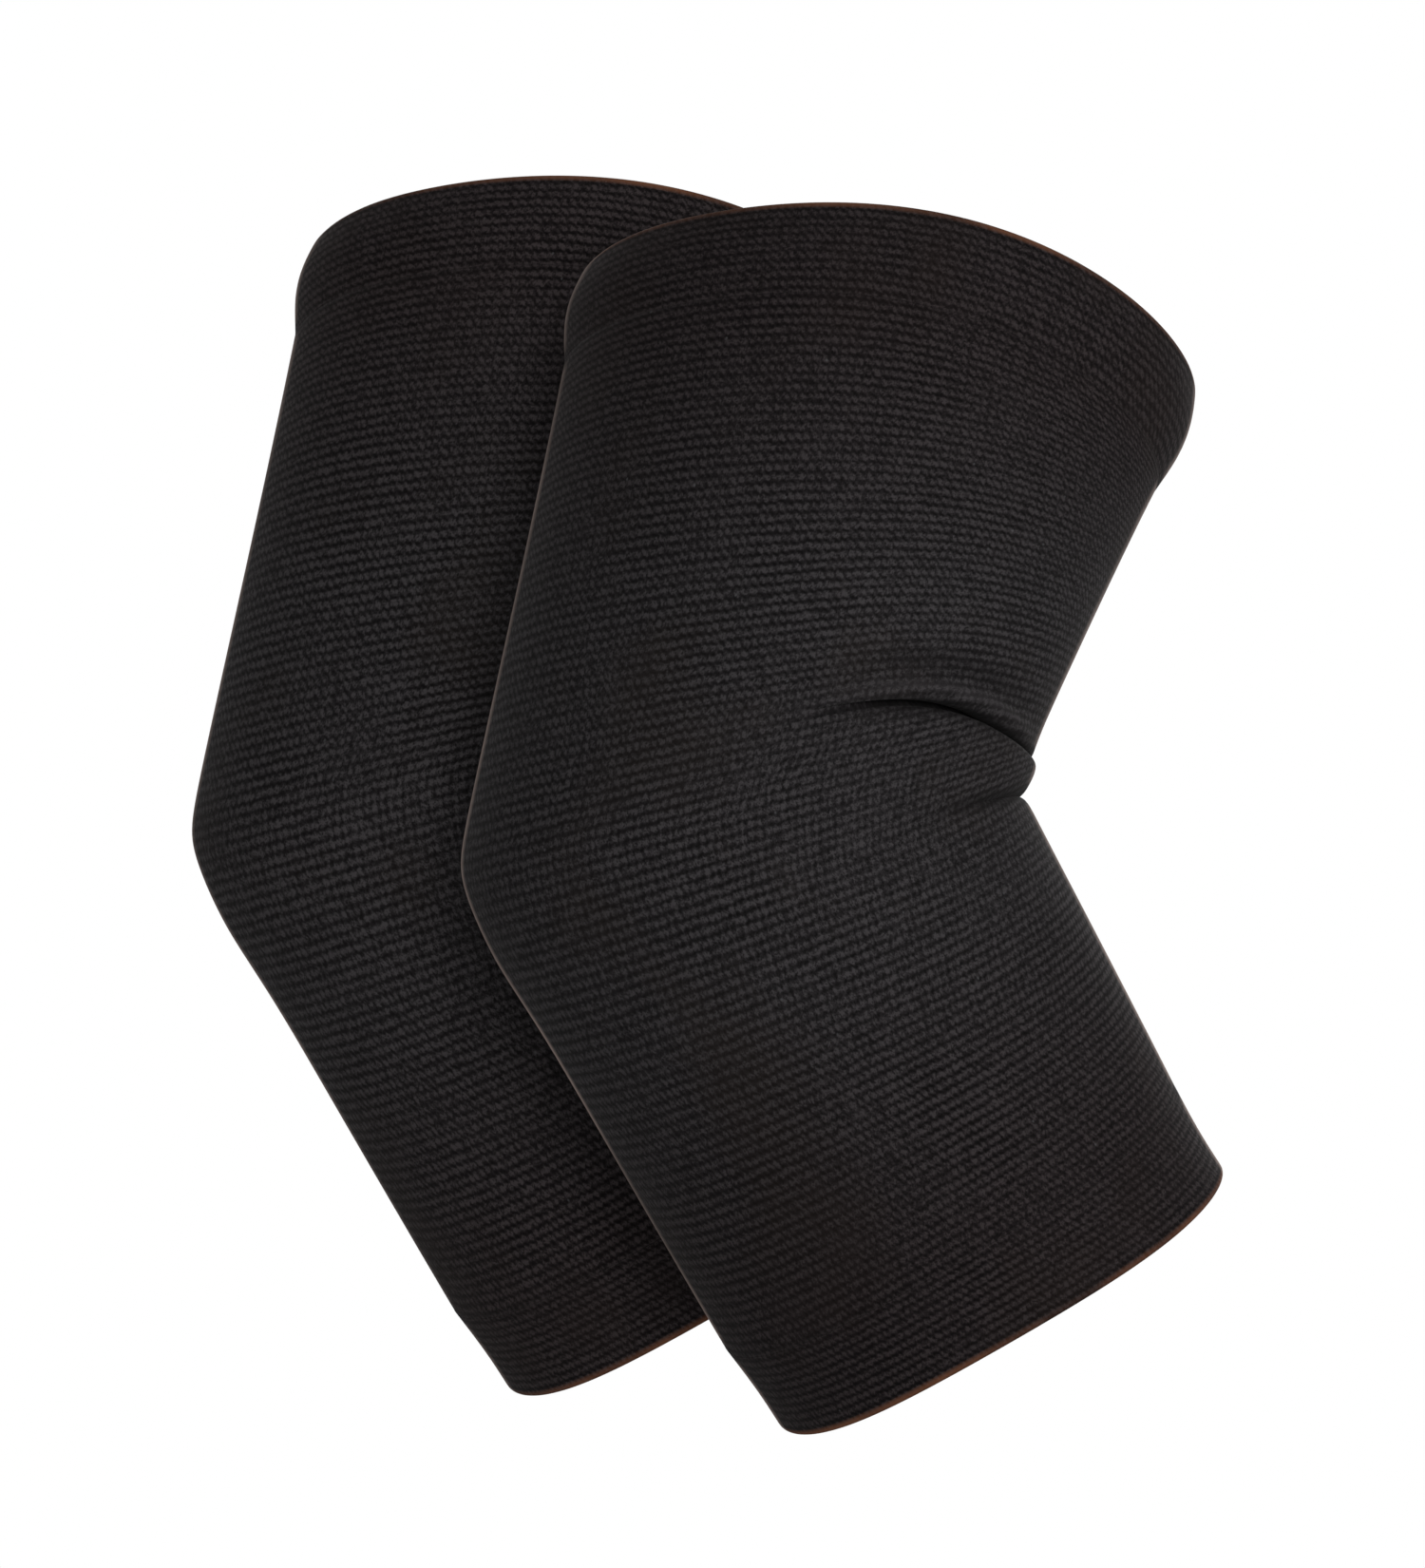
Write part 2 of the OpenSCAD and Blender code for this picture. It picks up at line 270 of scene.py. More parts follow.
def spread(part, ends, terms):
    # even steps from end to end, moved by two bulges that vanish at the ends
    bulges = (terms[0] + terms[1] * (1 - 2 * part)) * part * (1 - part)
    return between(ends, part) + bulges


def turnShare(away, stops):  # 1 near the crook, fading to 0 between two turns
    return smooth((stops[1] - away) / (stops[1] - stops[0]))


def rimShift(end, turn):
    # a sum of waves round the rim and a dent, along the wall: the wall's direction goes from the front
    # line's to the back line's as the turn does
    arm = "up" if end == "upper" else "down"
    lift = sum(size * np.cos(times * turn) for times, size in enumerate(rims[end]["even"]))
    lift = lift + sum(size * np.sin(times * turn) for times, size in enumerate(rims[end]["odd"], 1))
    if end in rimDents:
        middle, reach, depth = rimDents[end]
        away = np.cos(turn - math.radians(middle)) - 1
        lift = lift + depth * np.exp(away / math.radians(reach) ** 2)
    share = ((1 + np.cos(turn)) / 2)[..., None]
    return lift[..., None] * between((backLine[arm], frontLine[arm]), share)


def nearRim(level):  # 1 at an end of the tube, fading to 0 up the sleeve
    return np.clip(1 - level / rimFade, 0, 1)[..., None] ** 2


def crookRows(turn):
    # where crease and notch lie round the tube: place is a course of the tube without its tuck,
    # row the course of knit that is there
    away = np.degrees(np.minimum(turn, wholeTurn - turn))
    reach = (1 + np.cos(np.pi * np.minimum(away / crook["endTurn"], 1))) / 2
    steep, level = crook["dipPowers"]
    dip = 1 - (1 - reach ** steep) ** level
    crease = turnShare(away, crook["creaseTurn"])
    loose = between(crook["looseRows"], crease)
    place = between(crook["crease"], dip)
    notch = between(crook["notch"], reach)
    lipRow = place - crook["taken"] * dip
    rollRow = lipRow + crook["hidden"] * dip
    notchRow = notch + crook["notchTaken"] * dip
    start, end = 0 * place, 0 * place + sleeve["courses"]
    return {
        "places": (start, place - loose, place + loose, notch, end),
        "rows": (start, lipRow - loose, rollRow + loose, notchRow, end),
        "crease": crease,
        "lip": crease * (1 - turnShare(away, crook["lipTurn"])),
        "roll": turnShare(away, crook["rollTurn"]),
        "notch": turnShare(away, crook["notchTurn"]),
    }


def shoulder(away, radius):  # drop of a quarter round that ends in the tuck's wall
    inside = np.clip(1 - away / radius, 0, 1)
    return radius * (1 - np.sqrt(1 - inside ** 2))


def foldMoves(section, part, place, at, inset):
    # lip, tuck, roll and notch: how far the knit goes out along the oval's radius and down the arm,
    # and the painted shade of the crease, the valley and the notch, below 0 a painted highlight on the lip
    crease = at["crease"]
    fromCrease = np.abs(place - (at["places"][1] + at["places"][2]) / 2) * crook["pitch"]
    fromNotch = np.abs(place - at["places"][3]) * crook["pitch"]
    wall = inset + crook["tuckGap"]
    lipRound = max(crook["lipRound"] - inset, crook["leastRound"])
    rollRound = max(crook["rollRound"] - inset, crook["leastRound"])
    # painted shade along the crease, the valley and the notch, and a painted highlight on the lip
    fold = crease * bell(fromCrease, crook["creaseShadeWidth"])
    if section == 0:
        lip = at["lip"] * bell(fromCrease - crook["lipAway"], crook["lipWidth"])
        valley = at["lip"] * bell(fromCrease - crook["valleyAway"], crook["valleyWidth"])
        fold = fold + crook["lipShade"] * lip + crook["valleyShade"] * valley
        out = crook["lipProud"] * lip - crook["valleyDepth"] * valley
        out = out - crease * shoulder(fromCrease, lipRound)
        slip = -crease * np.clip(wall - fromCrease, 0, None)
    elif section == 1:
        mouth = np.where(part < 0.5, lipRound, rollRound)
        depth = crease * between((mouth, crook["tuckDepth"]), np.sin(np.pi * part))
        rise = math.radians(crook["tuckRise"]) * np.sin(np.pi * part)
        out = -depth * np.cos(rise)
        slip = crease * wall * np.tanh(crook["tuckSharp"] * (part - 0.5)) - depth * np.sin(rise)
    else:
        out = -crease * shoulder(fromCrease, rollRound)
        slip = crease * np.clip(wall - fromCrease, 0, None)
    if section == 2:
        higher, fuller = crook["rollPowers"]
        out = out + crook["rollProud"] * at["roll"] * np.sin(np.pi * part ** higher) ** fuller
    out = out - crook["notchDepth"] * at["notch"] * np.exp(-fromNotch / crook["notchWidth"])
    fold = fold + crook["notchShade"] * at["notch"] * bell(fromNotch, crook["notchShadeWidth"])
    return out, slip, fold


def tubePoints(section, part, turns, inset):
    # sections from the upper hem: upper arm, tuck, roll, forearm. Each ring is an oval from the front
    # line to the back line, moved by the fold, the elbow's point and the rims' waves.
    # Gives the points, their courses and their painted fold shade
    turn, part = turns[None, :], part[:, None]
    at = crookRows(turn)
    place = between(at["places"][section:section + 2], part)
    row = between(at["rows"][section:section + 2], part)
    out, slip, fold = foldMoves(section, part, place, at, inset)
    fromHem = np.minimum(row, sleeve["courses"] - row)
    out = out - sleeve["hemGroove"] * np.exp(-fromHem)
    behind = np.clip(-np.cos(turn), 0, 1) ** 2
    out = out + elbowPoint["proud"] * behind * bell(place - elbowPoint["course"], elbowPoint["spread"])
    level = place / sleeve["courses"]
    front = alongLine(frontLine, spread(level, lineEnds["front"], sleeve["frontSpread"]))
    back = alongLine(backLine, spread(level, lineEnds["back"], sleeve["backSpread"]))
    ahead = unit(front - back)
    down = np.stack([ahead[..., 1], -ahead[..., 0]], -1)
    half = np.linalg.norm(front - back, axis=-1) / 2
    flat = (front + back) / 2 + ahead * ((half - inset + out) * np.cos(turn))[..., None]
    flat = flat + down * slip[..., None]
    flat = flat + rimShift("upper", turn) * nearRim(level)
    flat = flat + rimShift("forearm", turn) * nearRim(1 - level)
    width = np.polyval(widthCurve, place) - inset + out
    return np.stack([flat[..., 0], -width * np.sin(turn), flat[..., 1]], -1), row, fold + 0 * row


turns = np.linspace(0, wholeTurn, sleeve["columns"], endpoint=False)
crowd, crowdTurn = sleeve["waleCrowd"]
waleTurns = np.linspace(0, wholeTurn, sleeve["columns"] + 1)[None, :]
waleTurns = waleTurns + crowd * np.sin(2 * (waleTurns - math.radians(crowdTurn)))
waleSteps = waleTurns * sleeve["wales"] / wholeTurn


def tubeSide(steps, inset):  # one face of the tube from hem to hem, with finer rows at the fold
    even = [np.linspace(0, 1, step, endpoint=False) for step in steps]
    even[3] = np.linspace(0, 1, steps[3] + 1)
    closer = sleeve["rowCrowd"]
    parts = [
        (1 + closer) * even[0] - closer * even[0] ** 2,
        even[1],
        even[2] - closer * np.sin(wholeTurn * even[2]) / wholeTurn,
        (1 - closer) * even[3] + closer * even[3] ** 2,
    ]
    grids = [tubePoints(section, part, turns, inset) for section, part in enumerate(parts)]
    return [np.vstack(layer) for layer in zip(*grids)]


def knitTube(side, material):
    # the outer face from the upper hem down and the inner face back up, closed at both hems
    outside = tubeSide(sleeve["outerRows"], 0)
    inside = tubeSide(sleeve["innerRows"], sleeve["wall"])
    points, rows, fold = [np.vstack([outer, inner[::-1]]) for outer, inner in zip(outside, inside)]
    rows = np.pad(rows, ((0, 1), (0, 1)), mode="wrap")
    hinge = hingeOf(side)
    blocks = [(ringFaces(len(points), sleeve["columns"]), ringUv(waleSteps, rows))]
    piece = addMesh(side + "_knit_tube", placed(points, hinge), blocks, material, fold)
    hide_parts(*[side + "_" + node for node in ("upper_arm_panel", "elbow_panel", "forearm_panel")])
    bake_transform(piece)


# hems: the knit turned over an elastic band, with a thread that sews the turned-in edge down

hems = {  # grow and lean are mm for each mm of height, bulge is mm, flat is metres
    "upper": {"body": "upper", "section": 0, "part": 0.0, "axis": upperAxis, "row": 0, "courseSign": -1,
              "grow": 0.09, "bulge": 1.45, "lean": 0.14, "flat": (0.335, 0.037)},
    "forearm": {"body": "forearm", "section": 3, "part": 1.0, "axis": forearmAxis, "row": sleeve["courses"],
                "courseSign": 1, "grow": -0.04, "bulge": -0.26, "lean": 0.09, "flat": (0.28, 0.037)},
}
hemSizes = {
    "width": mounts["upper_arm_cuff"]["dims"]["length_mm"],
    "layer": 1.4,
    "channel": 1.5,
    "rimRise": 1.3,
    "rimSquare": 0.6,  # power of the rim's round: 1 is an ellipse, less is squarer
    "bulgePower": 1.1,  # above 1, the bulge lies nearer to the rim
    "outerRows": 44,  # of the mesh
    "rimRows": 14,
    "innerRows": 24,
    "channelRows": 7,
}
bandSizes = {
    "width": 12.0,
    "thick": 1.2,
    "ribs": 9,
    "ribHeight": 0.08,
    "edgeDrop": 0.5,
    "edgeReach": 0.25,
    "rows": 55,
}
hemThread = {
    "radius": 0.28,
    "pitch": 2.6,
    "ringRadius": 48.0,  # of the ring by which the stitches are counted
    "middle": 0.6,  # height above the hem's floor, and the climb either way
    "climb": 1.5,
    "clear": 0.05,
    "fallFrom": -0.3,  # height at which it leaves the turned-in edge for the tube, and over how much
    "fallOver": 0.6,
    "stitchPoints": 12,
    "sides": 6,
    "lengthShare": 2,  # thread used for each pitch
}


def hemPoints(end, height, inset, turn):
    # oval that stands on the tube's last ring, carried along the hem's axis and eased outwards
    hem = hems[end]
    ring = tubePoints(hem["section"], np.array([hem["part"]]), np.array([0, np.pi / 2, np.pi]), 0)[0][0]
    shift = rimShift(end, np.array([0, np.pi]))
    front, back = ring[0, [0, 2]] - shift[0], ring[2, [0, 2]] - shift[1]
    ahead = unit(front - back)
    half = np.linalg.norm(front - back) / 2 + sleeve["hemGroove"]
    halfWidth = sleeve["hemGroove"] - ring[1, 1]
    share = np.clip(height / hemSizes["width"], 0, 1)
    ease = hem["grow"] * height + hem["bulge"] * np.sin(np.pi * share ** hemSizes["bulgePower"])
    flat = (front + back) / 2 + (hem["lean"] * height)[..., None] * ahead
    flat = flat + height[..., None] * hem["axis"] + rimShift(end, turn)
    flat = flat + ahead * ((half + ease - inset) * np.cos(turn))[..., None]
    across = -(halfWidth + ease - inset) * np.sin(turn)
    return np.stack(np.broadcast_arrays(flat[..., 0], across, flat[..., 1]), -1)


def hemProfile():
    # from the outer lower edge up, over the rim, down inside and back through the channel:
    # height, inset and the length of knit passed so far
    layer, channel, square = hemSizes["layer"], hemSizes["channel"], hemSizes["rimSquare"]
    outer, inner = layer + channel / 2, channel / 2
    straight = hemSizes["width"] - hemSizes["rimRise"]
    roof = straight - layer
    bend = np.linspace(0, np.pi, hemSizes["rimRows"], endpoint=False)
    rimUp = np.sin(bend) ** square
    rimOut = np.sign(np.cos(bend)) * np.abs(np.cos(bend)) ** square
    outsideUp = np.linspace(0, straight, hemSizes["outerRows"], endpoint=False)
    insideDown = np.linspace(straight, 0, hemSizes["innerRows"])
    channelUp = np.linspace(0, roof, hemSizes["channelRows"], endpoint=False)
    channelDown = np.linspace(roof, 0, hemSizes["channelRows"] + 1)
    runs = [
        (outsideUp, 0 * outsideUp),
        (straight + hemSizes["rimRise"] * rimUp, outer - outer * rimOut),
        (insideDown, 0 * insideDown + 2 * outer),
        (channelUp, 0 * channelUp + layer + channel),
        (roof + inner * np.sin(bend), outer + inner * np.cos(bend)),
        (channelDown, 0 * channelDown + layer),
    ]
    height, inset = [np.concatenate(run) for run in zip(*runs)]
    steps = np.hypot(np.diff(height), np.diff(inset))
    return height, inset, np.concatenate([[0], np.cumsum(steps)])


def hemCuff(side, end, material):
    # the folded profile carried round the rim
    hem = hems[end]
    height, inset, passed = hemProfile()
    points = hemPoints(end, height[:, None], inset[:, None], turns[None, :])
    rows = hem["row"] + hem["courseSign"] * passed / sleeve["coursePitch"]
    uv = ringUv(waleSteps, np.append(rows, rows[-1])[:, None])
    faces = ringFaces(len(height), sleeve["columns"])
    piece = addMesh(side + "_" + end + "_hem", placed(points, hingeOf(side)), [(faces, uv)], material)
    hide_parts(side + "_" + end + "_cuff")
    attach(piece, side + "_" + hem["body"])


def hemBand(side, end, material):
    # flat elastic band in the channel: cosine ribs across its width, and edges that thin out
    top = hemSizes["width"] - hemSizes["rimRise"] - hemSizes["layer"]
    bottom = top - bandSizes["width"]
    outside = hemSizes["layer"] + (hemSizes["channel"] - bandSizes["thick"]) / 2
    height = np.linspace(bottom, top, bandSizes["rows"])
    ribs = np.cos(wholeTurn * bandSizes["ribs"] * (height - bottom) / bandSizes["width"])
    fromEdge = np.minimum(height - bottom, top - height)
    hollow = bandSizes["edgeDrop"] * np.exp(-fromEdge / bandSizes["edgeReach"])
    hollow = hollow + bandSizes["ribHeight"] * (1 - ribs)
    height = np.concatenate([height, height[::-1]])
    inset = np.concatenate([outside + hollow, outside + bandSizes["thick"] - hollow[::-1]])
    points = hemPoints(end, height[:, None], inset[:, None], turns[None, :])
    uv = ringUv(waleSteps, np.append(height, height[0])[:, None])
    faces = ringFaces(len(height), sleeve["columns"])
    piece = addMesh(side + "_" + end + "_band", placed(points, hingeOf(side)), [(faces, uv)], material)
    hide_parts(side + "_" + end + "_elastic")
    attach(piece, side + "_" + hems[end]["body"])


def threadTube(path, radius, sides):
    # round section carried along a closed path, on a normal and a binormal of the path
    offPath = [0.0, 1.0, 0.3]  # a direction that no thread here runs along
    tangent = unit(np.roll(path, -1, 0) - np.roll(path, 1, 0))
    normal = unit(np.cross(tangent, offPath))
    binormal = np.cross(tangent, normal)
    angle = np.linspace(0, wholeTurn, sides, endpoint=False)[None, :, None]
    return path[:, None] + radius * (np.cos(angle) * normal[:, None] + np.sin(angle) * binormal[:, None])


def threadUv(points, step):  # once round the thread, and one step along it for each row
    rows, columns = points.shape[:2]
    return ringUv(np.linspace(0, 1, columns + 1)[None, :], step * np.arange(rows + 1)[:, None])


def hemStitch(side, end, material):
    # thread that climbs over the turned-in edge and down to the tube's inner face, again and again:
    # a cosine in height, whose inset follows the wall behind it
    count = int(wholeTurn * hemThread["ringRadius"] / hemThread["pitch"])
    phase = np.linspace(0, wholeTurn * count, count * hemThread["stitchPoints"], endpoint=False)
    height = hemThread["middle"] + hemThread["climb"] * np.cos(phase)
    clear = hemThread["radius"] + hemThread["clear"]
    deep = 2 * hemSizes["layer"] + hemSizes["channel"] + clear
    shallow = hemSizes["layer"] + clear
    fallen = smooth((hemThread["fallFrom"] - height) / hemThread["fallOver"])
    path = hemPoints(end, height, between((deep, shallow), fallen), phase / count)
    points = threadTube(path, hemThread["radius"], hemThread["sides"])
    uv = threadUv(points, hemThread["pitch"] * hemThread["lengthShare"] / hemThread["stitchPoints"])
    blocks = [(ringFaces(*points.shape[:2]), uv)]
    piece = addMesh(side + "_" + end + "_hem_thread", placed(points, hingeOf(side)), blocks, material)
    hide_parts(side + "_" + end + "_hem_stitch")
    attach(piece, side + "_" + hems[end]["body"])


# pad behind the elbow, its pocket and the thread round it

pad = {  # radii from the bend axis in mm, angles from the pad's middle in degrees
    "faces": 167.75,  # heading in the bend plane
    "radius": 44.5,
    "thick": 4.6,
    "halfAngle": 41.6,
    "edgePowers": (8, 0.5),  # how late the foam thins towards its rim, and how roundly
    "rows": 40,
    "columns": 96,
    "uvSteps": (42, 26),  # stitches for each radian, across and along
}
pocket = {
    "inside": 38.6,
    "outside": 39.5,
    "borderFrom": 42.8,
    "borderTo": 46.8,
    "borderPower": 0.5,
    "borderEdge": 0.5,  # thickness left at the border's free edge
    "outerRows": 40,
    "borderRows": 24,
    "innerRows": 44,
}
padThread = {
    "radius": 0.38,
    "angle": 44.6,
    "stitches": 50,
    "dip": 0.75,  # depth between two stitches, and the share of the cosine above which it dips
    "dipFrom": 0.2,
    "stitchPoints": 16,
    "sides": 8,
    "uvStep": 0.2,
}


def padPoints(angle, radius, turn):
    # sphere round the bend axis: angle from the pad's middle, turn about it
    outward = np.array([heading(pad["faces"])[0], 0, heading(pad["faces"])[1]])
    across = np.array([0.0, 1.0, 0.0])
    over = np.cross(outward, across)
    ring = np.cos(turn)[..., None] * across + np.sin(turn)[..., None] * over
    return radius[..., None] * (np.cos(angle)[..., None] * outward + np.sin(angle)[..., None] * ring)


def domeMesh(name, angle, radius, hinge, material):
    # profile from one pole to the other, turned about the pad's middle and closed at both poles;
    # the uv is the dome rolled flat
    columns = pad["columns"]
    acrossSteps, alongSteps = pad["uvSteps"]
    turn = np.linspace(0, wholeTurn, columns + 1)
    grid = np.broadcast_arrays(angle[:, None], radius[:, None], turn[None, :])
    flat = np.stack([grid[0] * np.cos(grid[2]) * acrossSteps, grid[0] * np.sin(grid[2]) * alongSteps], -1)
    points = padPoints(*(part[1:-1, :-1] for part in grid)).reshape(-1, 3)
    poles = padPoints(*(part[[0, -1], 0] for part in grid))
    index = np.pad(np.arange(len(points)).reshape(-1, columns), ((0, 0), (0, 1)), mode="wrap")
    first = np.stack([np.full(columns, len(points)), index[0, 1:], index[0, :-1]], -1)
    last = np.stack([np.full(columns, len(points) + 1), index[-1, :-1], index[-1, 1:]], -1)
    firstUv = np.stack([flat[0, 1:], flat[1, 1:], flat[1, :-1]], 1)
    lastUv = np.stack([flat[-1, 1:], flat[-2, :-1], flat[-2, 1:]], 1)
    blocks = [(corners(index), corners(flat[1:-1])), (first, firstUv), (last, lastUv)]
    return addMesh(name, placed(np.vstack([points, poles]), hinge), blocks, material)


def elbowPad(side, material):
    # foam cup, full in the middle and rounded off at its rim
    share = np.sin(np.linspace(0, np.pi / 2, pad["rows"]))
    angle = np.radians(pad["halfAngle"]) * share
    late, roundly = pad["edgePowers"]
    thick = pad["thick"] * (1 - share ** late) ** roundly
    middle = pad["radius"] - pad["thick"] / 2
    outer, inner = middle + thick / 2, middle - thick / 2
    piece = domeMesh(
        side + "_pad_foam", np.concatenate([angle, angle[-2::-1]]),
        np.concatenate([outer, inner[-2::-1]]), hingeOf(side), material,
    )
    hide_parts(side + "_elbow_pad")
    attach(piece, side + "_elbow_cap")


def padPocket(side, material):
    # knit layer under the pad, ending in a rolled border that goes round the pad's rim: a power of the
    # sine, from the layer's outer face up to the pad's height and down to a thin free edge
    edgeIn, edgeOut = math.radians(pocket["borderFrom"]), math.radians(pocket["borderTo"])
    climb = np.linspace(0, np.pi, pocket["borderRows"])
    angle = np.concatenate([
        np.linspace(0, edgeIn, pocket["outerRows"]),
        between((edgeIn, edgeOut), (1 - np.cos(climb)) / 2),
        np.linspace(edgeOut, 0, pocket["innerRows"]),
    ])
    foot = np.where(climb < np.pi / 2, pocket["outside"], pocket["inside"] + pocket["borderEdge"])
    radius = np.concatenate([
        np.full(pocket["outerRows"], pocket["outside"]),
        between((foot, pad["radius"]), np.sin(climb) ** pocket["borderPower"]),
        np.full(pocket["innerRows"], pocket["inside"]),
    ])
    piece = domeMesh(side + "_pad_cover", angle, radius, hingeOf(side), material)
    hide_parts(side + "_pad_pocket")
    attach(piece, side + "_elbow_cap")


def padStitch(side, material):
    # one thread that dips into the border between its stitches
    count = padThread["stitches"] * padThread["stitchPoints"]
    turn = np.linspace(0, wholeTurn, count, endpoint=False)
    dip = np.clip(np.cos(turn * padThread["stitches"]) - padThread["dipFrom"], 0, 1)
    radius = pocket["inside"] - padThread["radius"] + padThread["dip"] * dip
    path = padPoints(np.full(count, math.radians(padThread["angle"])), radius, turn)
    points = threadTube(path, padThread["radius"], padThread["sides"])
    blocks = [(ringFaces(*points.shape[:2]), threadUv(points, padThread["uvStep"]))]
    piece = addMesh(side + "_pad_thread", placed(points, hingeOf(side)), blocks, material)
    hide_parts(side + "_pad_stitch")
    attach(piece, side + "_elbow_cap")


# shader helpers

noiseSpan = (0.3, 0.7)  # between which most of a noise lies


def calc(tree, operation, *values):  # one math node; values are sockets or numbers
    node = tree.nodes.new("ShaderNodeMath")
    node.operation = operation
    for socket, value in zip(node.inputs, values):
        if isinstance(value, (int, float)):
            socket.default_value = value
        else:
            tree.links.new(value, socket)
    return node.outputs[0]


def total(tree, value, *others):
    for other in others:
        value = calc(tree, "ADD", value, other)
    return value


def product(tree, value, *others):
    for other in others:
        value = calc(tree, "MULTIPLY", value, other)
    return value


def wave(tree, turns, shape="COSINE"):
    return calc(tree, shape, product(tree, turns, wholeTurn))


def ramp(tree, value, low, high, fromLow=0.0, fromHigh=1.0):  # value carried from one span to another
    node = tree.nodes.new("ShaderNodeMapRange")
    tree.links.new(value, node.inputs["Value"])
    for name, number in (("From Min", fromLow), ("From Max", fromHigh), ("To Min", low), ("To Max", high)):
        node.inputs[name].default_value = number
    return node.outputs["Result"]


def blendColour(tree, share, low, high, how="MIX"):
    node = tree.nodes.new("ShaderNodeMix")
    node.data_type = "RGBA"
    node.blend_type = how
    tree.links.new(share, node.inputs["Factor"])
    colourIn = [socket for socket in node.inputs if socket.type == "RGBA"]
    for socket, value in zip(colourIn, (low, high)):
        if isinstance(value, tuple):
            socket.default_value = value + (1,)
        else:
            tree.links.new(value, socket)
    return [socket for socket in node.outputs if socket.type == "RGBA"][0]


def noise(tree, vector, scale, detail=2.0):
    node = tree.nodes.new("ShaderNodeTexNoise")
    node.inputs["Scale"].default_value = scale
    node.inputs["Detail"].default_value = detail
    tree.links.new(vector, node.inputs["Vector"])
    return node.outputs["Fac"]


def fromCell(tree, vector, scale):  # distance from the middle of the nearest cell
    node = tree.nodes.new("ShaderNodeTexVoronoi")
    node.inputs["Scale"].default_value = scale
    tree.links.new(vector, node.inputs["Vector"])
    return node.outputs["Distance"]


def stitchPlace(tree):  # the piece's own uv
    node = tree.nodes.new("ShaderNodeUVMap")
    node.uv_map = "stitches"
    return node.outputs[0]


def objectPlace(tree):
    return tree.nodes.new("ShaderNodeTexCoord").outputs["Object"]


def apart(tree, vector):  # the first two parts of a vector
    node = tree.nodes.new("ShaderNodeSeparateXYZ")
    tree.links.new(vector, node.inputs[0])
    return node.outputs[0], node.outputs[1]


def newGroup(name, inputs, outputs):
    tree = bpy.data.node_groups.new(name, "ShaderNodeTree")
    for label, kind, value in inputs:
        socket = tree.interface.new_socket(label, in_out="INPUT", socket_type=kind)
        if value is not None:
            socket.default_value = value
    for label, kind in outputs:
        tree.interface.new_socket(label, in_out="OUTPUT", socket_type=kind)
    return tree, tree.nodes.new("NodeGroupInput").outputs, tree.nodes.new("NodeGroupOutput").inputs


def newMaterial(name):
    material = bpy.data.materials.new(name)
    material.use_nodes = True
    tree = material.node_tree
    return material, tree, tree.nodes["Principled BSDF"]


def bump(tree, shader, height, strength, distance):
    node = tree.nodes.new("ShaderNodeBump")
    node.inputs["Strength"].default_value = strength
    node.inputs["Distance"].default_value = distance
    tree.links.new(height, node.inputs["Height"])
    tree.links.new(node.outputs[0], shader.inputs["Normal"])


# knit: its stitches as a node group, and the black knit of each sleeve

knitPattern = {  # lengths are mm on a straight tube, and the first number of a noise is its scale there
    "tubeRadius": 0.26,  # for each wale
    "seedStep": 500.0,  # along the tube, so that no two sleeves are the same
    "drift": (0.03, 0.8),  # stitches that a wale is moved either way, over tens of mm
    "sway": (0.6, 0.25),
    "waver": (0.5, 0.2),  # courses that a course is moved either way
    "slant": 0.5,  # stitches for each course above the elbow
    "slantEnd": 47.0,
    "climbs": (0.67, -0.33),  # stitches for each course, of the steep and the shallow wave
    "courseShare": (0.05, 0.32, 0.66),  # courses show more in some places
    "steepShare": (0.34, 0.14),  # on the arms, and at the elbow
    "shallowShare": (0.17, 0.27),
    "elbowCourse": 59.0,  # round it, the stitches stand squarer
    "elbowFade": (6.0, 14.0),  # courses away
    "elbowWider": 10.0,  # courses added at the sides, and twice as many in the crook
    "depth": 0.85,  # of the three waves together
    "fibre": (3.5, 0.15, 1.85),
    "fibreHeight": 0.35,
    "knob": (1.6, 0.35, 1.65),  # least and most brightness of single stitches
    "mottle": (0.7, 0.6, 1.4),
    "yarnPower": 1.1,
    "patchScale": 0.035,
    "lintScale": 0.16,
    "lintSize": (0.015, 0.05),
}


